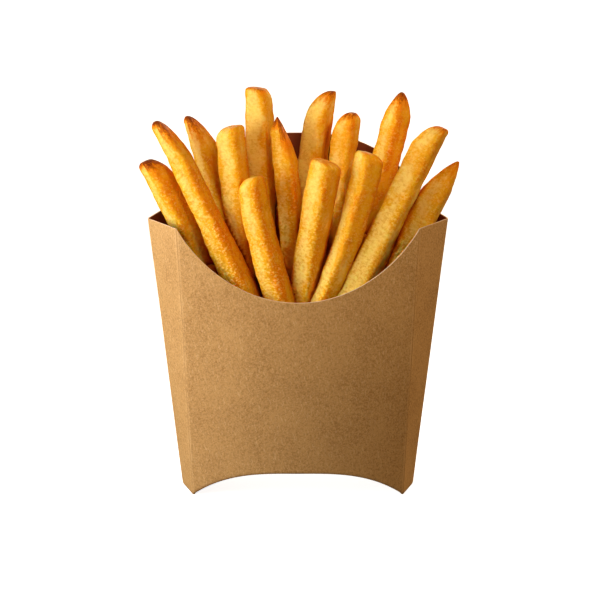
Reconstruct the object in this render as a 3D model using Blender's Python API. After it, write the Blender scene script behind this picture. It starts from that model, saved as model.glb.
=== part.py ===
"""Fried potato sticks standing in a folded kraft board scoop carton, in metres.

+Z is up and the carton's scooped front faces -Y.  The origin is on the table under the
middle of the object.  Two closed solids touch nowhere: the board carton, and the whole
bundle of sticks joined to the heap that fills the carton.
"""
import math

import bpy
import bmesh
from mathutils import Vector

# ---------------------------------------------------------------- driving dimensions
MM = 0.001                    # lengths below are in millimetres and are scaled once

CENTRE_X = 0.545              # taken off every x, so that the origin is under the middle
CENTRE_Y = 0.14               # the same for y

BOARD = 0.55                  # board thickness
FOLD_HALF_TOP = 55.1          # half width at the two side folds, at the mouth
FOLD_HALF_BOTTOM = 43.6       # the same, where the carton stands
CREASE_HALF_TOP = 43.8        # half width between the front panel's creases
CREASE_HALF_BOTTOM = 39.2
CREASE_DEPTH_TOP = 14.5       # how far the creases stand in front of the folds
CREASE_DEPTH_BOTTOM = 13.5
PANEL_DEPTH_TOP = 22.0        # how far the bowed panels reach in their middle
PANEL_DEPTH_BOTTOM = 21.5

FOLD_HEIGHT = 101.8           # top of the side folds
CREASE_HEIGHT = 100.5         # where the front scoop meets the creases
SCOOP_HEIGHT = 74.8           # lowest point of the front scoop
DOME_FOOT = 104.0             # height where the rear dome runs out on the side strips
DOME_RISE = 26.5              # how far the rear dome stands over its foot
DOME_HALF = 50.0              # half width of the rear dome
DOME_POWER = 2.72             # shape of the rear dome: higher is squarer
VAULT_RISE = 10.5             # how far the bottom panel is pushed up
VAULT_POWER = 2.9             # shape of the pushed-up bottom

PANEL_STEPS = 26              # facets across the bowed panels
STRIP_STEPS = 3               # facets across each side strip
WALL_ROWS = 4                 # facets up the walls

SHARP_ANGLE = 25.0            # facets that turn less than this are shaded as one surface

HEAP_GAP = 0.8                # air between the heap of sticks and the board
HEAP_HEIGHT = 72.0            # top of the heap at the board

# The heap's shoulders and crown, where short sticks stand between the long ones: height,
# share of the heap's width, share of its depth, and how far it is set to the rear.
HEAP_STEPS = (
    (86.0, 0.92, 0.66, 2.0),
    (97.0, 0.84, 0.50, 4.0),
)
HEAP_UNEVEN = 2.2             # how much the crown rises and falls
HEAP_WAVES = 5.0              # rises along the crown

STICK_CHAMFER = 0.15          # corner cut of a stick, as a share of its side
STICK_RINGS = 8               # rings along a stick
END_ROUND = 1.3               # how far back from its end a stick starts to round off
POINT_LENGTH = 1.6            # extra length of a pointed end, for each part of the side lost
END_SHRINK = 0.80             # width left at the very end
BOW_SKEW = 1.5                # over 1 moves the widest bow up towards the end
STICK_FOOT = 66.0             # every stick runs down into the heap to this height

# Each stick: middle of its cut end (x, y, z), where its axis meets the mouth level z = 72
# (x, y), side at the end, side at the mouth, turn about its own axis in degrees, bow to
# the right, slope of the end cut to the right, share of the side left at the end.
MOUTH_LEVEL = 72.0
STICKS = (
    # standing at the front, from left to right
    ((-47.0, -8, 135.0), (-17.4, -12), 6.4, 9.0, 28, -0.3, -0.85, 0.95),
    ((-16.8, -13, 118.7), (-5.8, -14.6), 8.7, 8.6, 32, -1.6, 0.35, 0.95),
    ((10.0, -14, 124.2), (1.4, -10.5), 9.0, 7.8, 37, -0.8, -0.30, 0.95),
    ((25.5, -12, 127.0), (8.0, -14.5), 8.6, 6.6, 59, 2.0, -0.37, 0.95),
    ((48.5, -7, 135.0), (19.0, -12.5), 9.6, 9.6, 12, 0.5, 0.16, 0.92),
    # behind them
    ((-54.2, -3, 123.3), (-32.4, -2), 8.3, 7.5, 61, 0.8, 0.05, 0.85),
    ((-24.5, -3, 135.2), (-18.0, -3), 8.6, 8.6, 25, -0.3, 0.33, 0.92),
    ((-7.4, -1, 139.0), (-2.0, 1), 8.0, 7.8, 22, 1.2, 0.00, 0.30),
    ((18.7, 4, 139.8), (11.0, 3), 8.0, 7.6, 27, -1.0, 0.17, 0.75),
    ((53.7, 1, 119.0), (33.6, -2), 8.0, 7.6, 53, -1.6, 0.68, 0.85),
    # third row, tall
    ((-36.8, 6, 136.2), (-20.5, 7), 8.3, 7.9, 40, 1.0, -0.62, 0.85),
    ((-14.4, 7, 148.8), (-13.2, 9), 8.5, 8.4, 25, -0.3, -0.20, 0.88),
    ((9.8, 10, 146.6), (2.0, 13), 8.2, 8.0, 28, -2.0, 0.20, 0.85),
    ((38.2, 6, 145.9), (18.5, 9), 7.8, 7.6, 45, 1.1, -0.50, 0.65),
)


def clear_scene():
    """Start from an empty scene."""
    for item in list(bpy.data.objects):
        bpy.data.objects.remove(item, do_unlink=True)


def blend(low, high, share):
    return low + (high - low) * share


# ---------------------------------------------------------------- the carton's shape
def plan_corners(share):
    """Half widths and depths of the six-cornered plan, share 0 at the table, 1 at the mouth."""
    fold = blend(FOLD_HALF_BOTTOM, FOLD_HALF_TOP, share)
    crease = blend(CREASE_HALF_BOTTOM, CREASE_HALF_TOP, share)
    crease_depth = blend(CREASE_DEPTH_BOTTOM, CREASE_DEPTH_TOP, share)
    panel_depth = blend(PANEL_DEPTH_BOTTOM, PANEL_DEPTH_TOP, share)
    return fold, crease, crease_depth, panel_depth


def half_plan(share):
    """Front half of the plan, from the left fold to the right fold, as (x, depth) pairs."""
    fold, crease, crease_depth, panel_depth = plan_corners(share)
    points = []
    for step in range(STRIP_STEPS):
        part = step / STRIP_STEPS
        points.append((blend(-fold, -crease, part), crease_depth * part))
    for step in range(PANEL_STEPS + 1):
        across = blend(-1.0, 1.0, step / PANEL_STEPS)
        bow = (panel_depth - crease_depth) * (1.0 - across * across)
        points.append((crease * across, crease_depth + bow))
    for step in range(1, STRIP_STEPS + 1):
        part = step / STRIP_STEPS
        points.append((blend(crease, fold, part), crease_depth * (1.0 - part)))
    return points


def closed_plan(share):
    """The whole plan as one loop: along the front from the left, then back along the rear."""
    front = half_plan(share)
    loop = [Vector((x, -depth)) for x, depth in front]
    loop += [Vector((x, depth)) for x, depth in reversed(front[1:-1])]
    return loop


def inset(loop, gap):
    """Move a plan loop inwards by gap, keeping its corners mitred."""
    moved = []
    for index, point in enumerate(loop):
        before = (point - loop[index - 1]).normalized()
        after = (loop[(index + 1) % len(loop)] - point).normalized()
        inward = Vector((-before.y, before.x)) + Vector((-after.y, after.x))
        moved.append(point + inward * (2.0 * gap / inward.length_squared))
    return moved


def vault(x, crease):
    """Height of the pushed-up bottom at x: flat in the middle, down to the table at the creases."""
    across = min(abs(x) / crease, 1.0)
    return VAULT_RISE * (1.0 - across ** VAULT_POWER)


def scoop_top(x):
    """Top edge of the front: a round scoop between the creases, then up to the folds."""
    across = abs(x)
    if across >= CREASE_HALF_TOP:
        part = (across - CREASE_HALF_TOP) / (FOLD_HALF_TOP - CREASE_HALF_TOP)
        return blend(CREASE_HEIGHT, FOLD_HEIGHT, part)
    drop = CREASE_HEIGHT - SCOOP_HEIGHT
    radius = (CREASE_HALF_TOP ** 2 + drop ** 2) / (2.0 * drop)
    return SCOOP_HEIGHT + radius - math.sqrt(radius ** 2 - across ** 2)


def dome_top(x):
    """Top edge of the rear: a wide dome that runs out on the side strips."""
    across = abs(x)
    if across >= DOME_HALF:
        part = (across - DOME_HALF) / (FOLD_HALF_TOP - DOME_HALF)
        return blend(DOME_FOOT, FOLD_HEIGHT, part)
    return DOME_FOOT + DOME_RISE * (1.0 - (across / DOME_HALF) ** DOME_POWER)


def wall_loop(row, gap):
    """One loop of wall points, row 0 at the bottom edge and WALL_ROWS at the top edge."""
    low = inset(closed_plan(0.0), gap)
    high = inset(closed_plan(1.0), gap)
    outer_low = closed_plan(0.0)
    outer_high = closed_plan(1.0)
    points = []
    for index, foot in enumerate(low):
        bottom = vault(outer_low[index].x, CREASE_HALF_BOTTOM) + gap
        edge_x = outer_high[index].x
        rear = outer_high[index].y > 0.0
        top = dome_top(edge_x) if rear else scoop_top(edge_x)
        height = blend(bottom, top, row / WALL_ROWS)
        share = height / CREASE_HEIGHT
        place = foot.lerp(high[index], share)
        points.append(Vector((place.x, place.y, height)))
    return points


def add_loop(mesh, points):
    centre = Vector((CENTRE_X, CENTRE_Y, 0.0))
    return [mesh.verts.new((point - centre) * MM) for point in points]


def bridge(mesh, lower, upper):
    """Quads between two loops of the same length."""
    count = len(lower)
    for index in range(count):
        after = (index + 1) % count
        mesh.faces.new((lower[index], lower[after], upper[after], upper[index]))


def floor_strips(mesh, loop, facing_down):
    """Close the bottom with strips that run from the front edge to the rear edge."""
    count = len(loop)
    half = count // 2
    for index in range(half):
        front_a = loop[index]
        front_b = loop[index + 1]
        rear_a = loop[(count - index) % count]
        rear_b = loop[count - index - 1]
        corners = [front_a, rear_a, rear_b, front_b]
        if index == 0:
            corners = [front_a, rear_b, front_b]
        elif index == half - 1:
            corners = [front_a, rear_a, front_b]
        if not facing_down:
            corners.reverse()
        mesh.faces.new(corners)


def finish(name, mesh, colour, roughness):
    """Turn a bmesh into a named object with its own material."""
    bmesh.ops.recalc_face_normals(mesh, faces=mesh.faces)
    data = bpy.data.meshes.new(name)
    mesh.to_mesh(data)
    mesh.free()
    data.polygons.foreach_set("use_smooth", [True] * len(data.polygons))
    data.set_sharp_from_angle(angle=math.radians(SHARP_ANGLE))
    item = bpy.data.objects.new(name, data)
    bpy.context.scene.collection.objects.link(item)
    surface = bpy.data.materials.new(name + "_surface")
    surface.use_nodes = True
    shader = surface.node_tree.nodes["Principled BSDF"]
    shader.inputs["Base Color"].default_value = (*colour, 1.0)
    shader.inputs["Roughness"].default_value = roughness
    data.materials.append(surface)
    return item


def build_carton():
    """One closed shell of board: outer skin, inner skin, the rim between them and a floor."""
    mesh = bmesh.new()
    outer = [add_loop(mesh, wall_loop(row, 0.0)) for row in range(WALL_ROWS + 1)]
    inner = [add_loop(mesh, wall_loop(row, BOARD)) for row in range(WALL_ROWS + 1)]
    for row in range(WALL_ROWS):
        bridge(mesh, outer[row], outer[row + 1])
        bridge(mesh, inner[row + 1], inner[row])
    bridge(mesh, outer[WALL_ROWS], inner[WALL_ROWS])
    floor_strips(mesh, outer[0], True)
    floor_strips(mesh, inner[0], False)
    return finish("carton", mesh, (0.62, 0.42, 0.24), 0.8)


# ---------------------------------------------------------------- the sticks
def heap_loop(height, keep_x=1.0, keep_y=1.0, set_back=0.0, uneven=0.0):
    """One loop of the heap, a little inside the board; height may be one for each point."""
    gap = BOARD + HEAP_GAP
    low = inset(closed_plan(0.0), gap)
    high = inset(closed_plan(1.0), gap)
    points = []
    for index, foot in enumerate(low):
        level = height[index] if isinstance(height, list) else height
        place = foot.lerp(high[index], level / CREASE_HEIGHT)
        rise = uneven * math.sin(HEAP_WAVES * math.tau * place.x / (2.0 * CREASE_HALF_TOP))
        points.append(Vector((place.x * keep_x, place.y * keep_y + set_back, level + rise)))
    return points


def build_heap():
    """The packed heap inside the carton, up to its uneven crown between the long sticks."""
    gap = BOARD + HEAP_GAP
    floor_levels = [vault(point.x, CREASE_HALF_BOTTOM) + gap for point in closed_plan(0.0)]
    mesh = bmesh.new()
    loops = [add_loop(mesh, heap_loop(floor_levels)), add_loop(mesh, heap_loop(HEAP_HEIGHT))]
    for height, keep_x, keep_y, set_back in HEAP_STEPS:
        points = heap_loop(height, keep_x, keep_y, set_back, HEAP_UNEVEN)
        loops.append(add_loop(mesh, points))
    for lower, upper in zip(loops, loops[1:]):
        bridge(mesh, lower, upper)
    floor_strips(mesh, loops[0], True)
    floor_strips(mesh, loops[-1], False)
    return finish("fries", mesh, (0.86, 0.60, 0.20), 0.55)


def stick_outline(side):
    """A square with its corners cut off, as (across, back) pairs."""
    half = side / 2.0
    inner = half - side * STICK_CHAMFER
    return ((-half, -inner), (-inner, -half), (inner, -half), (half, -inner),
            (half, inner), (inner, half), (-inner, half), (-half, inner))


def build_stick(number, stick):
    """One stick: a bowed square bar, rounded towards a sloping cut end."""
    tip, mouth, side_tip, side_mouth, turn, bow, slope, end_share = stick
    tip = Vector(tip)
    mouth = Vector((mouth[0], mouth[1], MOUTH_LEVEL))
    axis = (tip - mouth).normalized()
    foot = mouth - axis * ((MOUTH_LEVEL - STICK_FOOT) / axis.z)
    length = (tip - foot).length
    right = Vector((1.0, 0.0, 0.0))
    right = (right - axis * right.dot(axis)).normalized()
    back = axis.cross(right)
    angle = math.radians(turn)
    across = right * math.cos(angle) - back * math.sin(angle)
    behind = right * math.sin(angle) + back * math.cos(angle)
    cut = (slope * right.x - right.z) / (axis.z - slope * axis.x)

    round_back = END_ROUND + POINT_LENGTH * (1.0 - end_share) * side_tip
    shares = [step / (STICK_RINGS - 2) for step in range(STICK_RINGS - 1)]
    stops = [(share * (length - round_back), 1.0) for share in shares]
    stops.append((length, end_share * END_SHRINK))
    mesh = bmesh.new()
    rings = []
    for distance, keep in stops:
        share = distance / length
        centre = foot + axis * distance + right * bow * math.sin(math.pi * share ** BOW_SKEW)
        side = blend(side_mouth, side_tip, share) * keep
        ring = []
        for out_x, out_y in stick_outline(side):
            offset = across * out_x + behind * out_y
            lean = cut * offset.dot(right) * share ** 3
            ring.append(centre + offset + axis * lean)
        rings.append(add_loop(mesh, ring))
    for lower, upper in zip(rings, rings[1:]):
        bridge(mesh, lower, upper)
    mesh.faces.new(list(reversed(rings[0])))
    mesh.faces.new(rings[-1])
    item = finish("stick_{:02d}".format(number), mesh, (0.86, 0.60, 0.20), 0.55)
    item.hide_render = True
    item.display_type = "WIRE"
    return item


def build_fries():
    """The heap with every stick joined to it as one closed solid."""
    heap = build_heap()
    sticks = bpy.data.collections.new("sticks")
    bpy.context.scene.collection.children.link(sticks)
    for number, stick in enumerate(STICKS):
        item = build_stick(number, stick)
        bpy.context.scene.collection.objects.unlink(item)
        sticks.objects.link(item)
    joined = heap.modifiers.new("join_sticks", "BOOLEAN")
    joined.operation = "UNION"
    joined.operand_type = "COLLECTION"
    joined.collection = sticks
    joined.solver = "EXACT"
    return heap


clear_scene()
build_carton()
build_fries()
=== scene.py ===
"""Thick-cut fries standing in a kraft board scoop carton, dressed over the CAD frame."""

import math

import bmesh
import bpy
import numpy as np
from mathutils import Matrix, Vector, noise
from mathutils.bvhtree import BVHTree


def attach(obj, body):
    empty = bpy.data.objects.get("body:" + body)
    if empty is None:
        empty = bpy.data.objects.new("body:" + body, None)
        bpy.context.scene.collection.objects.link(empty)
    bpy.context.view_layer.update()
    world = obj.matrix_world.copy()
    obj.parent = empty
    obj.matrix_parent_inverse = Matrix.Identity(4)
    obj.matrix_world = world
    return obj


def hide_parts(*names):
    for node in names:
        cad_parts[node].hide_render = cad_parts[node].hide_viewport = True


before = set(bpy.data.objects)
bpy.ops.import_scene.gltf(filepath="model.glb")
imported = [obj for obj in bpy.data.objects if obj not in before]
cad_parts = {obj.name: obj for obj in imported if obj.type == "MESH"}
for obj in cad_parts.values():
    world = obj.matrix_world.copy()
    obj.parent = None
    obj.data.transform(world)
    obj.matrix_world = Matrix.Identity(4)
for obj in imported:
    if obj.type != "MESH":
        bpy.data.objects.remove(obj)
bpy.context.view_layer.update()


# ------------------------------------------------------------------ the carton
# A scoop carton cut and creased from one blank of uncoated kraft board about half a
# millimetre thick.  Its bowed front and rear panels meet in two narrow strips on each side,
# and the bottom panel is pushed up into a shallow vault, so that it stands on its corners.
MM = 0.001
CENTRE = (0.545, 0.14)              # the carton's middle stands this far off the origin
BOARD = 0.55                        # thickness of the board
FOLD_HALF = (43.6, 55.1)            # half width at the side folds: at the table, at the mouth
CREASE_HALF = (39.2, 43.8)          # half width between the panel creases
CREASE_DEPTH = (13.5, 14.5)         # how far the creases stand in front of the side folds
PANEL_DEPTH = (21.5, 22.0)          # how far the bowed panels reach
MOUTH = 100.5                       # height at which the second of each pair is reached
FOLD_TOP = 101.8                    # where the top edge ends at the side folds
SCOOP_LOW = 74.8                    # lowest point of the front's top edge
DOME_FOOT, DOME_RISE = 104.0, 26.5  # the rear's domed edge: height of its ends, rise above
DOME_HALF, DOME_POWER = 50.0, 2.72  # its half width, and how square its shoulders are
VAULT_RISE, VAULT_POWER = 10.5, 2.9     # how high the bottom is pushed up, and how square
FOLD_RADIUS = 0.9                   # how softly the creases turn
SWAY = 0.22                         # how far the board strays from its true face
STRIP_LENGTH = math.hypot(FOLD_HALF[1] - CREASE_HALF[1], CREASE_DEPTH[1])
PANEL_LENGTH = 2.0 * CREASE_HALF[1] + 3.0


def blend(pair, share):
    """From the first of a pair at the table to the second at the mouth."""
    return pair[0] + (pair[1] - pair[0]) * share


def plan_point(run, share):
    """Where the board stands at a run of millimetres from the left fold, share 1 at the mouth."""
    half_round = 2.0 * STRIP_LENGTH + PANEL_LENGTH
    run = np.mod(run, 2.0 * half_round)
    flip = np.where(run >= half_round, -1.0, 1.0)
    run = np.where(run >= half_round, run - half_round, run)
    fold, crease = blend(FOLD_HALF, share), blend(CREASE_HALF, share)
    crease_depth, panel_depth = blend(CREASE_DEPTH, share), blend(PANEL_DEPTH, share)
    first = run / STRIP_LENGTH
    middle = (run - STRIP_LENGTH) / PANEL_LENGTH * 2.0 - 1.0
    last = (run - STRIP_LENGTH - PANEL_LENGTH) / STRIP_LENGTH
    on_first, on_middle = first < 1.0, np.abs(middle) <= 1.0
    x = np.where(on_first, -fold + (fold - crease) * first,
                 np.where(on_middle, crease * middle, crease + (fold - crease) * last))
    bow = (panel_depth - crease_depth) * (1.0 - middle ** 2)
    depth = np.where(on_first, crease_depth * first,
                     np.where(on_middle, crease_depth + bow, crease_depth * (1.0 - last)))
    return x * flip, -depth * flip


def soft_plan(run, share):
    """The same, with the creases turned in a small radius, as creased board does."""
    steps = ((-1.0, 1.0), (-0.6, 2.0), (-0.2, 3.0), (0.2, 3.0), (0.6, 2.0), (1.0, 1.0))
    total = sum(weight for _, weight in steps)
    x = sum(plan_point(run + step * FOLD_RADIUS, share)[0] * weight for step, weight in steps)
    y = sum(plan_point(run + step * FOLD_RADIUS, share)[1] * weight for step, weight in steps)
    return x / total, y / total


def panel_runs(length, steps):
    """Runs across one panel, close together beside the creases at both its ends."""
    beside, clear = [0.0, 0.35, 0.7, 1.1, 1.6, 2.4], 4.5
    between = list(np.linspace(clear, length - clear, steps))
    return beside + between + [length - run for run in reversed(beside[1:])]


def vault_height(x):
    """How high the pushed-up bottom stands across the carton."""
    across = np.minimum(np.abs(x) / CREASE_HALF[0], 1.0)
    return VAULT_RISE * (1.0 - across ** VAULT_POWER)


def front_top(x):
    """Top edge of the front: a round scoop between the creases, then up to the folds."""
    across = np.abs(x)
    crease, fold = CREASE_HALF[1], FOLD_HALF[1]
    drop = MOUTH - SCOOP_LOW
    radius = (crease ** 2 + drop ** 2) / (2.0 * drop)
    scoop = SCOOP_LOW + radius - np.sqrt(radius ** 2 - np.minimum(across, crease) ** 2)
    strip = MOUTH + (FOLD_TOP - MOUTH) * (across - crease) / (fold - crease)
    return np.where(across < crease, scoop, strip)


def rear_top(x):
    """Top edge of the rear: a wide dome that runs out on the side strips."""
    across = np.abs(x)
    dome = DOME_FOOT + DOME_RISE * (1.0 - (across / DOME_HALF) ** DOME_POWER)
    strip = DOME_FOOT + (FOLD_TOP - DOME_FOOT) * (across - DOME_HALF) / (FOLD_HALF[1] - DOME_HALF)
    return np.where(across < DOME_HALF, dome, strip)


strip_runs = panel_runs(STRIP_LENGTH, 5)
half_runs = np.array(strip_runs + [STRIP_LENGTH + run for run in panel_runs(PANEL_LENGTH, 50)]
                     + [STRIP_LENGTH + PANEL_LENGTH + run for run in strip_runs])
runs = np.concatenate([half_runs, half_runs[1:-1] + half_runs[-1]])
around = len(runs)
low_x, low_y = soft_plan(runs, 0.0)
high_x, high_y = soft_plan(runs, 1.0)
bottom_z = vault_height(low_x)
top_z = np.where(high_y < -0.01, front_top(high_x), rear_top(high_x))


def board_ring(height, inset):
    """One ring of board points at its own height for each run, moved inwards by inset."""
    share = height / MOUTH
    x, y = low_x + (high_x - low_x) * share, low_y + (high_y - low_y) * share
    along_x, along_y = np.roll(x, -1) - np.roll(x, 1), np.roll(y, -1) - np.roll(y, 1)
    length = np.hypot(along_x, along_y)
    sway = np.array([noise.noise((a / 34.0, b / 34.0, c / 40.0))
                     for a, b, c in zip(x, y, height)])
    inwards = inset - SWAY * sway
    x, y = x - along_y / length * inwards, y + along_x / length * inwards
    return np.column_stack([x, y, height])


# The board's rings in order: out from under the carton, up the outside, over the cut top edge
# and down the inside.  The marks say how far a ring is raw cut edge, and how far inside.
OUTSIDE, CUT, INSIDE = (0.0, 0.0), (1.0, 0.0), (0.0, 1.0)
wall_steps = np.concatenate([[0.004, 0.012], np.linspace(0.03, 0.97, 44), [0.985]])
rings = [(board_ring(bottom_z + lift, inset), OUTSIDE)
         for inset, lift in ((1.1, 0.0), (0.5, 0.02), (0.2, 0.18))]
rings += [(board_ring(bottom_z + 0.5 + (top_z - bottom_z - 0.6) * step, 0.0), OUTSIDE)
          for step in wall_steps]
rings.append((board_ring(top_z - 0.12, 0.0), OUTSIDE))
rings += [(board_ring(top_z - drop, inset), CUT)
          for inset, drop in ((0.0, 0.07), (0.06, 0.0), (0.27, 0.01), (0.49, 0.0), (BOARD, 0.07))]
rings.append((board_ring(top_z - 0.12, BOARD), INSIDE))
rings += [(board_ring(bottom_z + 0.9 + (top_z - bottom_z - 1.2) * step, BOARD), INSIDE)
          for step in wall_steps[::-2]]
rings.append((board_ring(bottom_z + BOARD, 1.4), INSIDE))


def join_rings(mesh, rings):
    """Faces between each closed ring of points and the next."""
    for lower, upper in zip(rings, rings[1:]):
        for number in range(len(lower)):
            after = (number + 1) % len(lower)
            mesh.faces.new((lower[number], lower[after], upper[after], upper[number]))


mesh = bmesh.new()
cut_edge = mesh.verts.layers.float.new("cut_edge")
inner_face = mesh.verts.layers.float.new("inner_face")
from_crease = mesh.verts.layers.float.new("from_crease")
crease_runs = np.array([0.0, STRIP_LENGTH, STRIP_LENGTH + PANEL_LENGTH])
crease_runs = np.concatenate([crease_runs, crease_runs + half_runs[-1]])
to_crease = np.min(np.abs(runs[:, None] - crease_runs[None, :]), axis=1)
centre = Vector((CENTRE[0], CENTRE[1], 0.0))
rows = []
for ring, mark in rings:
    row = []
    for number, place in enumerate(ring):
        vert = mesh.verts.new((Vector(place) - centre) * MM)
        vert[cut_edge], vert[inner_face] = mark
        vert[from_crease] = to_crease[number]
        row.append(vert)
    rows.append(row)
join_rings(mesh, rows)


def vaulted_floor(mesh, edge, downwards):
    """The pushed-up bottom, in bars that run from the front edge to the rear edge."""
    half, steps = len(edge) // 2, 14
    bars = []
    for number in range(1, half):
        front, rear = edge[number], edge[len(edge) - number]
        bar = [front]
        for step in range(1, steps):
            place = front.co.lerp(rear.co, step / steps)
            ripple = noise.noise(place * 60.0) * min(place.z * 0.05, 0.12 * MM)
            bar.append(mesh.verts.new(place + Vector((0.0, 0.0, ripple))))
        bars.append(bar + [rear])
    for bar, beside in zip(bars, bars[1:]):
        for low, high, far_high, far_low in zip(bar, bar[1:], beside[1:], beside):
            corners = (low, high, far_high, far_low)
            mesh.faces.new(corners if downwards else corners[::-1])
    for fold, bar in ((edge[0], bars[0][::-1]), (edge[half], bars[-1])):
        for first, second in zip(bar, bar[1:]):
            corners = (fold, first, second)
            mesh.faces.new(corners if downwards else corners[::-1])


vaulted_floor(mesh, rows[0], True)
vaulted_floor(mesh, rows[-1], False)
bmesh.ops.recalc_face_normals(mesh, faces=mesh.faces)


def shown(mesh, name):
    """The finished mesh as a smooth object in the scene."""
    kept = bpy.data.meshes.new(name)
    mesh.to_mesh(kept)
    mesh.free()
    kept.polygons.foreach_set("use_smooth", [True] * len(kept.polygons))
    piece = bpy.data.objects.new(name, kept)
    bpy.context.scene.collection.objects.link(piece)
    return piece


carton = shown(mesh, "carton_board")


class Wire:
    """One output of a material being made; sums written on it add Math nodes."""

    def __init__(self, tree, socket):
        self.tree = tree
        self.socket = socket

    def node(self, kind, settings, sockets, out=0):
        """Adds a node: its settings first, then the values or links of its sockets."""
        made = self.tree.nodes.new(kind)
        for name, value in settings.items():
            setattr(made, name, value)
        for name, value in sockets.items():
            if isinstance(value, Wire):
                self.tree.links.new(value.socket, made.inputs[name])
            else:
                made.inputs[name].default_value = value
        return Wire(self.tree, made.outputs[out])

    def maths(self, operation, first, second):
        return self.node("ShaderNodeMath", {"operation": operation}, {0: first, 1: second})

    def __add__(self, other):
        return self.maths("ADD", self, other)

    __radd__ = __add__

    def __sub__(self, other):
        return self.maths("SUBTRACT", self, other)

    def __rsub__(self, other):
        return self.maths("SUBTRACT", other, self)

    def __mul__(self, other):
        return self.maths("MULTIPLY", self, other)

    __rmul__ = __mul__

    def within(self, low, high):
        """Runs smoothly from 0 at low to 1 at high."""
        return self.node("ShaderNodeMapRange", {"interpolation_type": "SMOOTHSTEP"},
                         {"Value": self, "From Min": low, "From Max": high})

    def cloud(self, size, detail=3.0, rough=0.5, seed=0.0):
        """Soft noise whose blotches are about size metres across, from 0 to 1."""
        shifted = self.node("ShaderNodeVectorMath", {"operation": "ADD"},
                            {0: self, 1: (seed, seed * 0.7, seed * 1.3)})
        return self.node("ShaderNodeTexNoise", {}, {"Vector": shifted, "Scale": 1.0 / size,
                                                    "Detail": detail, "Roughness": rough})

    def stretched(self, by):
        """A place drawn out or squeezed along each axis."""
        return self.node("ShaderNodeVectorMath", {"operation": "MULTIPLY"}, {0: self, 1: by})

    def turned(self, angle):
        """A place turned about one slanting axis."""
        return self.node("ShaderNodeVectorRotate", {"rotation_type": "AXIS_ANGLE"},
                         {"Vector": self, "Axis": (0.3, 1.0, 0.2), "Angle": angle})

    def colours(self, first, second, mode="MIX"):
        """Mixes two colours by this value."""
        return self.node("ShaderNodeMix", {"data_type": "RGBA", "blend_type": mode},
                         {0: self, 6: first, 7: second}, out=2)

    def feeds(self, shader, name):
        """Links this value or colour to one of the shader's sockets."""
        self.tree.links.new(self.socket, shader.inputs[name])

    def raises(self, shader, height, strength):
        """Bumps the shader's surface by this value, which stands height metres tall at 1."""
        self.node("ShaderNodeBump", {}, {"Strength": strength, "Distance": height,
                                         "Height": self}).feeds(shader, "Normal")


def new_finish(name, settings):
    """A material, and its shader with these settings."""
    finish = bpy.data.materials.new(name)
    finish.use_nodes = True
    shader = finish.node_tree.nodes["Principled BSDF"]
    for socket, value in settings.items():
        shader.inputs[socket].default_value = value
    return finish, shader


def place_on(finish):
    """A wire from where each spot lies on the piece."""
    return Wire(finish.node_tree, None).node("ShaderNodeTexCoord", {}, {}, out="Object")


def painted(finish, name, out="Fac"):
    """A wire from what is kept on the mesh under a name: a number, or a place as Vector."""
    return Wire(finish.node_tree, None).node("ShaderNodeAttribute", {"attribute_name": name},
                                             {}, out=out)


# Kraft board: long brown pulp fibres with paler and darker ones among them, a little cloudy.
KRAFT = (0.58, 0.315, 0.108, 1.0)
KRAFT_DEEP = (0.36, 0.175, 0.050, 1.0)
KRAFT_PALE = (0.74, 0.46, 0.21, 1.0)
KRAFT_CUT = (0.86, 0.62, 0.42, 1.0)
KRAFT_INSIDE_SHADE = (0.15, 0.020, 0.001, 1.0)
kraft, shader = new_finish("kraft_board", {"Roughness": 0.78, "Specular IOR Level": 0.25})
place = place_on(kraft)
clouds = place.cloud(0.016, 3.0, 0.55)
specks = place.cloud(0.0007, 3.0, 0.7, 0.31)
fine = place.cloud(0.00042, 2.0, 0.6, 0.77)
upright = place.turned(0.25).stretched((1.0, 1.0, 0.16)).cloud(0.00036, 2.0, 0.5, 0.11)
lying = place.turned(-0.9).stretched((1.0, 1.0, 0.16)).cloud(0.00036, 2.0, 0.5, 0.53)
base = (clouds * 0.25 + specks * 0.75).within(0.31, 0.58).colours(KRAFT_DEEP, KRAFT)
base = (upright.within(0.56, 0.70) * 0.50).colours(base, KRAFT_PALE)
base = (lying.within(0.56, 0.70) * 0.55).colours(base, KRAFT_DEEP)
base = (fine.within(0.56, 0.72) * 0.50).colours(base, KRAFT_PALE)
crease = painted(kraft, "from_crease")
# Painted shade runs in each crease's score line and a painted highlight beside it, both patchy;
# the score line is also bumped in below.
score_line = 1.0 - crease.within(0.05, 0.45)
beside = crease.within(0.2, 0.5) - crease.within(0.6, 1.1)
patchy = clouds.within(0.25, 0.65)
base = (score_line * patchy * 0.50).colours(base, KRAFT_DEEP)
base = (beside * patchy * 0.42).colours(base, KRAFT_PALE)
# Painted shade: the inside of the board is drawn dark maroon for the shade and warm bounce inside
# the carton.
base = (painted(kraft, "inner_face") * (0.92 + clouds * 0.1)).colours(base, KRAFT_INSIDE_SHADE)
base = (painted(kraft, "cut_edge") * (0.80 + specks * 0.3)).colours(base, KRAFT_CUT)
base.feeds(shader, "Base Color")
relief = specks * 0.5 + fine * 0.35 + upright * 0.3 + lying * 0.3 - score_line * 0.6
relief.raises(shader, 0.00012, 0.6)
carton.data.materials.append(kraft)
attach(carton, "root")
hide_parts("carton")


# ------------------------------------------------------------------ the fries
# Potato cut into bars about 8 mm square and fried twice: a pale gold crust, deeper on the
# corners, blistered and browned where a thin end has cooked longest.  They stand loose in
# the carton and lean out with its sides.
MOUTH_LEVEL = 72.0                  # a little under the front's scooped edge
FOOT_LEVEL = 58.0                   # the bars end here, in the heap underneath
END = 3.0                           # the last millimetres, where the rings draw close
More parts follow.
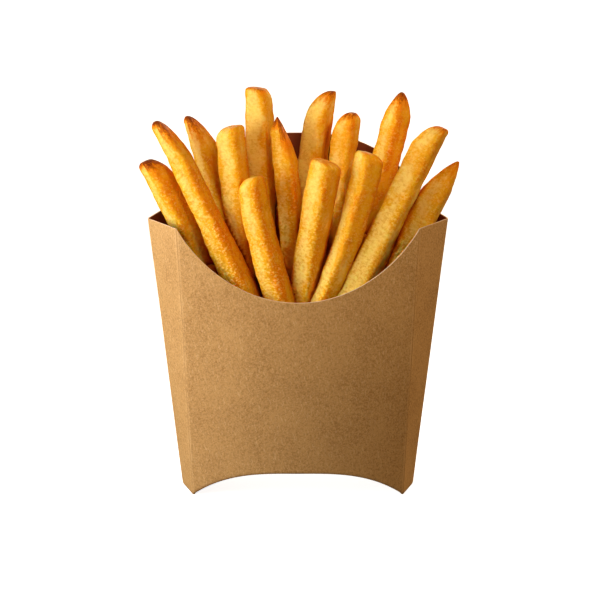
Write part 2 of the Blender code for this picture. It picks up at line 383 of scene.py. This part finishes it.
# For each bar: its tip; where it crosses the mouth level; its side there and at every third
# of the way to the tip; how far the two thirds bow to the right; its turn in degrees; how far
# from the end its left and right flanks start to run in; where across the bar the tip is;
# how blunt it is (share of the side left at the end, roundness, slope of the cut); how
# browned the end is and how pale the bar.  The front row comes first.
LONG_FRIES = (
    dict(tip=(-49.4, -5, 139.0), mouth=(-18.2, -13), sides=(10.1, 8.4, 7.5, 7.7),
         bows=(0.6, 0.5), turn=28, run=(2.0, 19.0), peak=-0.55, blunt=(0.10, 0.9, 0.0),
         browned=1.2, pale=0.1),
    dict(tip=(-16.8, -13, 118.9), mouth=(-5.8, -14.6), sides=(8.7, 9.0, 8.9, 8.7),
         bows=(-0.9, -1.2), turn=32, run=(5.0, 1.6), peak=0.55, blunt=(0.45, 1.0, 0.15),
         browned=0.1, pale=0.1),
    dict(tip=(10.2, -14, 124.7), mouth=(1.4, -10.5), sides=(8.6, 9.2, 9.6, 9.7),
         bows=(-0.1, -0.2), turn=37, run=(1.4, 1.8), peak=-0.50, blunt=(0.65, 1.0, -0.25),
         browned=0.2, pale=0.6),
    dict(tip=(25.6, -12, 127.5), mouth=(8.0, -14.5), sides=(7.0, 7.8, 8.7, 9.2),
         bows=(1.8, 1.9), turn=56, run=(2.0, 2.8), peak=-0.45, blunt=(0.50, 1.0, -0.25),
         browned=0.2, pale=0.6),
    dict(tip=(49.8, -7, 137.2), mouth=(17.8, -12.5), sides=(10.5, 9.5, 9.3, 9.5),
         bows=(0.1, 0.0), turn=20, run=(10.5, 1.6), peak=0.75, blunt=(0.22, 1.0, 0.0),
         browned=0.4, pale=1.1),
    dict(tip=(-54.2, 0, 123.6), mouth=(-31.0, -2), sides=(7.8, 8.5, 9.0, 8.4),
         bows=(1.0, 1.3), turn=50, run=(1.8, 10.0), peak=-0.45, blunt=(0.32, 1.0, 0.0),
         browned=1.4, pale=0.7),
    dict(tip=(-24.6, -5, 136.1), mouth=(-18.2, -2.5), sides=(8.6, 8.8, 9.1, 9.3),
         bows=(-0.3, -0.3), turn=25, run=(3.8, 1.6), peak=0.50, blunt=(0.50, 1.0, 0.15),
         browned=0.2, pale=0.8),
    dict(tip=(-6.9, -1, 139.3), mouth=(-0.4, 1), sides=(7.4, 7.8, 7.9, 7.6),
         bows=(0.4, 0.8), turn=22, run=(6.0, 17.0), peak=-0.15, blunt=(0.03, 0.35, 0.0),
         browned=1.0, pale=0.1),
    dict(tip=(18.65, 6, 140.1), mouth=(11.0, 5), sides=(7.6, 7.9, 8.2, 8.4),
         bows=(-0.3, -0.5), turn=27, run=(7.0, 3.0), peak=0.35, blunt=(0.15, 1.0, 0.0),
         browned=0.7, pale=0.8),
    dict(tip=(56.9, -3, 123.8), mouth=(32.6, -1.5), sides=(9.6, 10.3, 10.6, 9.6),
         bows=(-1.2, -1.6), turn=15, run=(19.0, 13.0), peak=0.30, blunt=(0.06, 0.6, 0.0),
         browned=0.35, pale=0.3),
    dict(tip=(-37.6, 6, 139.4), mouth=(-20.5, 7), sides=(7.9, 8.0, 8.2, 8.0),
         bows=(0.5, 0.5), turn=40, run=(2.0, 16.0), peak=-0.70, blunt=(0.08, 0.8, 0.0),
         browned=1.0, pale=0.9),
    dict(tip=(-14.3, 7, 148.8), mouth=(-13.0, 9), sides=(8.5, 8.8, 9.0, 8.7),
         bows=(0.0, 0.0), turn=25, run=(1.2, 5.0), peak=-0.30, blunt=(0.60, 1.0, -0.10),
         browned=0.4, pale=1.3),
    dict(tip=(9.6, 10, 147.6), mouth=(2.4, 13), sides=(9.5, 9.6, 9.4, 8.5),
         bows=(-1.0, -1.6), turn=28, run=(11.0, 2.0), peak=0.80, blunt=(0.20, 1.0, 0.0),
         browned=0.6, pale=1.2),
    dict(tip=(37.8, 1.5, 147.8), mouth=(18.4, 6), sides=(7.6, 7.9, 8.4, 7.9),
         bows=(0.6, 0.8), turn=47, run=(12.5, 10.0), peak=0.00, blunt=(0.08, 0.8, 0.0),
         browned=0.9, pale=0.8),
)
# The short bars between them are plainer.  For each: its tip, where it crosses the mouth level,
# its side, its turn, the slope of its cut, how browned it is and how pale.
SHORT_FRIES = (
    ((-43.0, 5, 103.0), (-32.0, 6), 7.5, 50, 0.30, 0.4, 0.0),
    ((-34.5, 11, 104.0), (-28.5, 12), 7.4, 30, -0.20, 0.3, 0.0),
    ((-24.5, 14, 101.0), (-20.0, 14), 7.5, 12, 0.25, 0.4, 0.1),
    ((-4.0, 15, 105.0), (-6.0, 15), 7.8, 15, 0.10, 0.3, 0.3),
    ((14.0, 15, 99.0), (10.5, 15), 7.6, 8, -0.25, 0.5, 0.0),
    ((30.0, 13, 106.0), (25.0, 13), 7.4, 28, 0.15, 0.3, 0.2),
    ((41.5, 8, 101.0), (33.0, 8.5), 7.4, 42, -0.20, 0.6, 0.0),
    ((36.0, 3, 98.0), (25.5, 3.5), 7.2, 55, 0.20, 0.3, -0.2),
    ((-34.0, -5, 85.0), (-28.5, -4), 7.2, 35, 0.10, 0.3, -0.2),
    ((-10.0, -6, 84.0), (-8.5, -7), 7.4, 20, 0.10, 0.3, 0.0),
    ((7.0, -3, 104.0), (4.0, -2.5), 7.6, 30, -0.20, 0.2, 0.0),
    ((21.0, -3, 96.0), (14.0, -4), 7.4, 40, 0.20, 0.4, 0.2),
    ((34.0, -3, 98.0), (24.0, -3), 7.4, 30, 0.10, 0.3, 0.0),
    ((-29.0, -11, 81.0), (-26.5, -11.5), 7.3, 40, 0.20, 0.3, 0.0),
    ((31.0, -10.5, 82.0), (28.5, -11), 7.3, 48, -0.20, 0.3, 0.0),
)


def bar_outline(points, squareness):
    """A unit square bar's outline with rounded corners, and how near each point is to one."""
    outline = []
    for number in range(points):
        angle = math.tau * (number + 0.5) / points
        cosine, sine = math.cos(angle), math.sin(angle)
        reach = (abs(cosine) ** squareness + abs(sine) ** squareness) ** (-1.0 / squareness)
        corner = math.sin(2.0 * angle) ** 2
        outline.append((0.5 * cosine * reach, 0.5 * sine * reach, corner))
    return outline


def roll(place, size, seed):
    """Soft rise and fall of about size millimetres across, between -1 and 1."""
    return noise.noise(Vector((place[0] / size + seed, place[1] / size, place[2] / size)))


def through(values, share):
    """A smooth run through four values, a third of the way apart."""
    t = 3.0 * min(max(share, 0.0), 1.0)
    first, second, third, fourth = values
    return (-first * (t - 1.0) * (t - 2.0) * (t - 3.0) / 6.0
            + second * t * (t - 2.0) * (t - 3.0) / 2.0
            - third * t * (t - 1.0) * (t - 3.0) / 2.0
            + fourth * t * (t - 1.0) * (t - 2.0) / 6.0)


def flank(to_end, run_in, flat, roundness):
    """How wide a side of the bar is before its end, from flat at the end to 1.

    Roundness 0 runs in straight, and 1 turns round like a worn corner.
    """
    short_of_full = (1.0 - min(to_end / run_in, 1.0)) ** (1.0 + 0.7 * roundness)
    return flat + (1.0 - flat) * (1.0 - short_of_full) ** (1.0 - 0.44 * roundness)


def fry_rings(fry, number, points, spacing):
    """Rings of a fried bar from its foot to its rounded cut end: spots, places and marks."""
    tip, mouth = Vector(fry["tip"]), Vector((*fry["mouth"], MOUTH_LEVEL))
    peak, browned, pale = fry["peak"], fry["browned"], fry["pale"]
    flat, roundness, slope = fry["blunt"]
    left_run, right_run = fry["run"]
    deep_run = max(0.4 * (left_run + right_run), 1.5)
    axis = (tip - mouth).normalized()
    buried = (MOUTH_LEVEL - FOOT_LEVEL) / axis.z
    foot = mouth - axis * buried
    length = (tip - foot).length
    right = Vector((1.0, 0.0, 0.0))
    right = (right - axis * right.dot(axis)).normalized()
    back = axis.cross(right)
    angle = math.radians(fry["turn"])
    cosine, sine = math.cos(angle), math.sin(angle)
    cut = (slope * right.x - right.z) / (axis.z - slope * axis.x) if slope else 0.0
    seed = number * 7.31

    stops = [spacing * step for step in range(int((length - END) / spacing))]
    stops += [length - END + END * math.sin(step * math.pi / 20.0) for step in range(0, 11)]
    rings = []
    for distance in stops:
        share = (distance - buried) / (length - buried)
        to_end = length - distance
        centre_line = foot + axis * distance + right * through((0.0, *fry["bows"], 0.0), share)
        swell = 1.0 + 0.03 * roll((0.0, 0.0, distance), 14.0, seed + 3.0)
        hollow = 0.6 + roll((0.0, 0.0, distance), 18.0, seed + 31.0)
        side = through(fry["sides"], share) * swell
        to_left = flank(to_end, left_run, flat, roundness)
        to_right = flank(to_end, right_run, flat, roundness)
        depth = flank(to_end, deep_run, flat, roundness)
        squareness = 3.4 + 1.5 * min(to_end / 12.0, 1.0)
        half = 0.5 * side * (cosine + sine) * 0.88
        ring = []
        for unit_x, unit_y, corner in bar_outline(points, squareness):
            # The crust's swells, lumps and blisters, and the slight hollow of each cut side.
            place = (unit_x * side, unit_y * side, distance)
            rise = 0.34 * roll(place, 7.0, seed) + 0.24 * roll(place, 2.9, seed + 11.0)
            rise += 0.10 * roll(place, 1.3, seed + 23.0)
            rise -= 0.14 * (1.0 - corner ** 4) * hollow
            out = math.hypot(unit_x, unit_y)
            local_x = place[0] + unit_x / out * rise
            local_y = place[1] + unit_y / out * rise
            # Each flank runs in towards the peak of the cut end.
            sideways = local_x * cosine + local_y * sine
            inwards = local_y * cosine - local_x * sine
            from_peak = sideways - peak * half
            run_in = to_left if from_peak < 0.0 else to_right
            sideways = peak * half + from_peak * run_in
            lean = cut * sideways * max(share, 0.0) ** 3
            spot = centre_line + right * sideways + back * (inwards * depth) + axis * lean
            # What the crust's colour follows: corners, with painted shade on those at the bar's
            # left and right outline; thin ends; painted shade on the side turned away from the
            # key lamp; and height.
            # Painted shade: the corners at the bar's left and right outline are drawn browner,
            # added to the corners' own browning.
            rim_shade = corner ** 2 * min(abs(unit_x * cosine + unit_y * sine) * 1.45, 1.0) ** 3
            edge = 0.45 * corner + 0.55 * rim_shade
            thin = max(1.0 - run_in, 0.0) + 0.8 * math.exp(-to_end / 1.5)
            toasted = browned * thin * (0.8 + 0.4 * corner)
            shaded_side = 0.5 + (0.45 * unit_x + 0.15 * unit_y) / out
            along = min(max(share, 0.0), 1.0)
            ring.append((spot, place, (edge, toasted, shaded_side, pale + 0.4 * (0.6 - along),
                                       1.0 - 0.6 * along)))
        rings.append(ring)
    last = rings[-1]
    middle = sum((spot for spot, _, _ in last), Vector()) / points
    for keep in (0.72, 0.42, 0.16):
        cap = []
        for spot, place, marks in last:
            drawn_in = (place[0] * keep, place[1] * keep, length)
            dish = 0.35 * flat * roll(drawn_in, 3.2, seed + 41.0)
            spot = middle.lerp(spot, keep) + axis * (0.25 * flat * (1.0 - keep) + dish)
            cap.append((spot, drawn_in, marks))
        rings.append(cap)
    return rings


# Each spot is marked by how near a corner it is (with painted shade on the outline corners), how
# browned, how far round on the side away from the key lamp (painted shade), how pale its bar is
# and how dry its crust.
MARKS = ("corner", "browned", "shaded_side", "pale", "dry")
mesh = bmesh.new()
mark_layers = [mesh.verts.layers.float.new(name) for name in MARKS]
stick_place = mesh.verts.layers.float_vector.new("stick_place")


def add_fry(fry, number, points, spacing):
    """Adds one bar, and keeps on it each spot's marks and its place on an upright bar."""
    rows = []
    for ring in fry_rings(fry, number, points, spacing):
        row = []
        for spot, place, marks in ring:
            vert = mesh.verts.new((spot - centre) * MM)
            vert[stick_place] = Vector(place) * MM + Vector((number * 0.05, 0.0, 0.0))
            for layer, mark in zip(mark_layers, marks):
                vert[layer] = mark
            row.append(vert)
        rows.append(row)
    join_rings(mesh, rows)
    mesh.faces.new(rows[0][::-1])
    mesh.faces.new(rows[-1])


for number, fry in enumerate(LONG_FRIES):
    add_fry(fry, number, 36, 0.75)
for number, (tip, mouth, side, turn, slope, browned, pale) in enumerate(SHORT_FRIES):
    fry = dict(tip=tip, mouth=mouth, sides=(side,) * 4, bows=(0.0, 0.0), turn=turn,
               run=(2.0, 2.0), peak=0.0, blunt=(0.6, 1.0, slope), browned=browned, pale=pale)
    add_fry(fry, number + 20, 28, 1.1)
fries = shown(mesh, "fried_sticks")

# Painted shade: where the bars lie close together, and deep in the carton behind the front row,
# the crust is drawn darker.
# Each spot is marked by how much of the other bars is near it, in directions spread evenly all
# round, and by how deep it stands in the carton behind the front row.
REACH = 14.0 * MM                   # bars further away than this count for nothing
LOOKS = 24                          # how many directions each spot looks in
DEEP_TOP, DEEP_RUN = 104.0, 20.0    # depth counts below this height, in full 20 mm down
FRONT_ROW, FRONT_RUN = -8.0, 10.0   # and behind the front row, in full 10 mm further back
DEEP_SHARE = 0.5                    # what full depth adds to the mark
bars_around = BVHTree.FromPolygons([vert.co for vert in fries.data.vertices],
                                   [tuple(face.vertices) for face in fries.data.polygons])
directions = []
for step in range(LOOKS):
    height = 1.0 - (step + 0.5) / (LOOKS / 2.0)
    turn = step * math.pi * (3.0 - math.sqrt(5.0))
    level = math.sqrt(1.0 - height ** 2)
    directions.append(Vector((math.cos(turn) * level, math.sin(turn) * level, height)))


def hemmed_in(vert):
    """How near the other bars stand all round a spot, from 0 for none to 1 for touching."""
    start, seen, hidden = vert.co + vert.normal * (0.2 * MM), 0.0, 0.0
    for direction in directions:
        facing = direction.dot(vert.normal)
        if facing > 0.1:
            distance = bars_around.ray_cast(start, direction, REACH)[3]
            seen += facing
            hidden += facing * (1.0 - distance / REACH) if distance is not None else 0.0
    return hidden / seen


close_shade_marks = []
for vert in fries.data.vertices:
    deep = min(max(DEEP_TOP - vert.co.z / MM, 0.0) / DEEP_RUN, 1.0)
    deep *= min(max(vert.co.y / MM - FRONT_ROW, 0.0) / FRONT_RUN, 1.0)
    close_shade_marks.append(hemmed_in(vert) + DEEP_SHARE * deep)
fries.data.attributes.new("close_shade", "FLOAT", "POINT").data.foreach_set("value", close_shade_marks)

# Fried crust: creamy where the potato starch set first, gold over most of the bar, orange brown
# on the corners, dark at thin ends, with fine dry blisters all over.
# Painted shade: deeper orange on the side away from the key lamp and on the outline corners,
# darker where the bars stand close and deep in the carton; the pale flecks are partly painted
# glints.
CREAM = (0.97, 0.62, 0.13, 1.0)
GOLD = (0.87, 0.40, 0.010, 1.0)
PALE_FLECK_AND_GLINT = (1.0, 0.75, 0.20, 1.0)
DARK_PIT = (0.66, 0.25, 0.003, 1.0)
ORANGE = (0.80, 0.235, 0.001, 1.0)
BROWN = (0.44, 0.105, 0.002, 1.0)
DARK = (0.15, 0.022, 0.002, 1.0)
SHADE_TINT = (0.80, 0.42, 0.12, 1.0)    # painted shade: this and the next darken what lies under them
SHADED = (0.45, 0.25, 0.20, 1.0)
crust, shader = new_finish("fried_crust", {
    "Roughness": 0.46, "Specular IOR Level": 0.05, "Subsurface Weight": 0.5,
    "Subsurface Radius": (1.0, 0.35, 0.08), "Subsurface Scale": 0.005})
stick = painted(crust, "stick_place", "Vector")
patches = stick.stretched((1.0, 1.0, 0.6)).cloud(0.0046, 2.0, 0.5)
blisters = stick.cloud(0.0019, 2.0, 0.5, 0.37)
grain = stick.cloud(0.00115, 2.0, 0.6, 0.59)
pores = stick.cloud(0.00062, 2.0, 0.6, 0.83)
ripples = stick.stretched((0.7, 0.7, 1.0)).cloud(0.00082, 3.0, 0.7, 0.29)
zones = stick.stretched((1.0, 1.0, 0.7)).cloud(0.0105, 1.0, 0.5, 0.13)
mottle = zones * 0.46 + patches * 0.48 + blisters * 0.24 + grain * 0.16 - 0.17
# Painted shade: the side turned away from the key lamp is drawn deeper orange.
shaded_side = painted(crust, "shaded_side")
# The corner mark holds the corners' browning and painted shade on the outline corners.
corner = painted(crust, "corner")
cooked = mottle + shaded_side * 0.26 - painted(crust, "pale") * 0.12 + corner * 0.35 - 0.08
base = cooked.within(0.42, 0.62).colours(CREAM, GOLD)
base = cooked.within(0.62, 0.84).colours(base, ORANGE)
close_shade = painted(crust, "close_shade")
dry = patches * 0.8 + blisters * 0.8 - shaded_side * 0.4 - close_shade * 0.4
dry = painted(crust, "dry") * dry.within(0.1, 0.7)
# Pale flecks on the dry crust, partly painted glints, fewer on the shaded side.
base = (dry * ripples.within(0.50, 0.62) * 0.72).colours(base, PALE_FLECK_AND_GLINT)
base = (dry * (1.0 - ripples.within(0.38, 0.50)) * 0.60).colours(base, DARK_PIT)
# Orange on the corners: browning, and painted shade where the corner mark holds the outline
# corners.
corner_orange = corner.within(0.45, 0.95) * (0.4 + blisters.within(0.35, 0.6) * 0.6)
base = (corner_orange * 0.55).colours(base, ORANGE)
base = (corner.within(0.65, 1.0) * grain.within(0.3, 0.6) * 0.45).colours(base, BROWN)
# Painted shade where the bars stand close together and deep in the carton.
base = close_shade.within(0.24, 0.58).colours(base, SHADE_TINT, "MULTIPLY")
base = close_shade.within(0.46, 0.76).colours(base, SHADED, "MULTIPLY")
toasted = painted(crust, "browned") * (grain * 2.4 + blisters * 1.2 + pores * 1.4 - 1.4)
base = toasted.within(0.05, 0.45).colours(base, ORANGE)
base = toasted.within(0.35, 0.80).colours(base, BROWN)
base = (toasted.within(0.85, 1.4) * 0.8).colours(base, DARK)
base.feeds(shader, "Base Color")
(blisters * 0.50 + grain * 0.40 + ripples * 0.45).raises(shader, 0.0009, 1.0)
gloss = (grain * 0.6 + blisters * 0.4).within(0.3, 0.7)
(0.30 + gloss * 0.20).feeds(shader, "Roughness")
fries.data.materials.append(crust)
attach(fries, "root")
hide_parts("fries")


# ------------------------------------------------------------------ the heap underneath
# Down in the carton the bars lie against each other and only dark gaps show between them,
# so one bumpy mass stands there for the lower ends of all of them, drawn nearly black: painted
# shade.
HEAP_GAP = 1.2                      # how far it stays off the board
HEAP_TOP = 70.0                     # where its crown begins
BAR_WIDTH = 7.5                     # its front and rear are ribbed like the bars above
DEEP_BROWN = (0.10, 0.010, 0.001, 1.0)
mesh = bmesh.new()


def heap_row(height, across=1.0, deep=1.0, shift=0.0, rough=0.0):
    """A ring of the heap inside the board, drawn in to a share of its width and depth."""
    ring = board_ring(np.broadcast_to(height, (around,)).astype(float), BOARD + HEAP_GAP)
    row = []
    for x, y, z in ring[::2]:
        x, y = x * across, y * deep + shift
        rise = noise.noise((x / 3.0, y / 3.0, z))
        rise = rough * (2.4 * noise.noise((x / 7.0, y / 7.0, 1.7)) + rise)
        ribs = 0.6 * rough * math.cos(x * math.tau / BAR_WIDTH)
        spot = Vector((x, y - math.copysign(ribs, y), z + rise))
        row.append(mesh.verts.new((spot - centre) * MM))
    return row


rows = [heap_row(vault_height(low_x) + BOARD + HEAP_GAP)]
rows += [heap_row(height) for height in (20.0, 32.0, 44.0, 56.0, 64.0)]
rows += [heap_row(*crown, rough=1.0) for crown in (
    (HEAP_TOP, 0.97, 0.93, 0.0), (72.0, 0.88, 0.74, 2.0), (73.0, 0.76, 0.56, 4.0),
    (74.0, 0.60, 0.38, 5.0), (74.0, 0.40, 0.22, 5.0), (74.0, 0.15, 0.08, 5.0))]
join_rings(mesh, rows)
mesh.faces.new(rows[-1])
vaulted_floor(mesh, rows[0], True)
bmesh.ops.recalc_face_normals(mesh, faces=mesh.faces)
bmesh.ops.triangulate(mesh, faces=[face for face in mesh.faces if len(face.verts) > 4])
heap = shown(mesh, "fries_below")

shade, shader = new_finish("fries_in_shade", {"Roughness": 0.6, "Specular IOR Level": 0.05})
blotches = place_on(shade).cloud(0.004, 3.0, 0.6)
blotches.within(0.3, 0.8).colours(DEEP_BROWN, DARK).feeds(shader, "Base Color")
blotches.raises(shader, 0.0005, 0.8)
heap.data.materials.append(shade)
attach(heap, "root")
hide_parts("fries")


# ------------------------------------------------------------------ the table and the light
# A plain white table that turns up far away.  A soft lamp stands close on the left and a
# narrow one above the tips; weak suns come from the front, the right and behind.  The camera
# stands a little above the carton's mouth.
AROUND_TABLE = 48                   # points round the table's rings
mesh = bmesh.new()
rows = []
for radius, height in ((5.7, 4.0), (5.5, 1.2), (5.0, 0.3), (4.0, 0.0), (2.0, 0.0), (0.5, 0.0)):
    turns = [math.tau * step / AROUND_TABLE for step in range(AROUND_TABLE)]
    rows.append([mesh.verts.new((radius * math.cos(turn), radius * math.sin(turn), height))
                 for turn in turns])
join_rings(mesh, rows)
mesh.faces.new(rows[-1])
table = shown(mesh, "table")
white, _ = new_finish("white_table", {
    "Base Color": (0.9, 0.9, 0.9, 1.0), "Roughness": 0.9,
    "Emission Color": (1.0, 1.0, 1.0, 1.0), "Emission Strength": 0.9})
table.data.materials.append(white)
table.visible_diffuse = False
table.visible_shadow = False
table.visible_glossy = False


def new_lamp(name, kind, power, colour, azimuth, elevation, away=0.0, aim=(0.0, 0.0, 0.0)):
    """A lamp azimuth degrees to the right of the camera's side, away metres from its aim."""
    turn, tilt = math.radians(azimuth), math.radians(elevation)
    towards = Vector((math.sin(turn) * math.cos(tilt), -math.cos(turn) * math.cos(tilt),
                      math.sin(tilt)))
    lamp = bpy.data.objects.new(name, bpy.data.lights.new(name, kind))
    lamp.data.energy = power
    lamp.data.color = colour
    lamp.location = towards * away + Vector(aim)
    lamp.rotation_euler = towards.to_track_quat("Z", "Y").to_euler()
    bpy.context.scene.collection.objects.link(lamp)
    return lamp


def sun(name, azimuth, elevation, strength, softness, colour):
    """Even light from far away, softness degrees wide."""
    lamp = new_lamp(name, "SUN", strength, colour, azimuth, elevation)
    lamp.data.angle = math.radians(softness)


def soft_box(name, azimuth, elevation, away, aim, side, spread, power, colour):
    """A square lamp of this side in metres, whose light spreads over spread degrees."""
    lamp = new_lamp(name, "AREA", power, colour, azimuth, elevation, away, aim)
    lamp.data.size = side
    lamp.data.spread = math.radians(spread)
    lamp.visible_camera = False


soft_box("key", -64.0, 13.0, 0.28, (0.0, 0.0, 0.066), 0.22, 180.0, 1.0, (0.98, 1.0, 1.0))
soft_box("above", 12.0, 35.0, 0.26, (0.018, 0.0, 0.140), 0.12, 36.0, 0.028, (1.0, 0.82, 0.58))
sun("front", -2.0, 45.0, 0.24, 60.0, (1.0, 0.70, 0.40))
sun("side", 98.0, 20.0, 1.12, 40.0, (1.0, 0.75, 0.45))
sun("back", 170.0, 20.0, 1.3, 50.0, (1.0, 0.86, 0.62))
world = bpy.data.worlds.new("studio")
world.use_nodes = True
world.node_tree.nodes["Background"].inputs["Color"].default_value = (1.0, 0.76, 0.48, 1.0)
world.node_tree.nodes["Background"].inputs["Strength"].default_value = 0.12
bpy.context.scene.world = world
bpy.context.scene.view_settings.view_transform = "Standard"

lens = bpy.data.cameras.new("camera")
lens.sensor_width = 36.0
lens.lens = 113.5
camera = bpy.data.objects.new("camera", lens)
camera.location = (0.195 * MM, -683.5 * MM, 222.6 * MM)
ahead = Vector((0.195 * MM, -0.14 * MM, 71.1 * MM)) - camera.location
camera.rotation_euler = ahead.to_track_quat("-Z", "Y").to_euler()
bpy.context.scene.collection.objects.link(camera)
bpy.context.scene.camera = camera
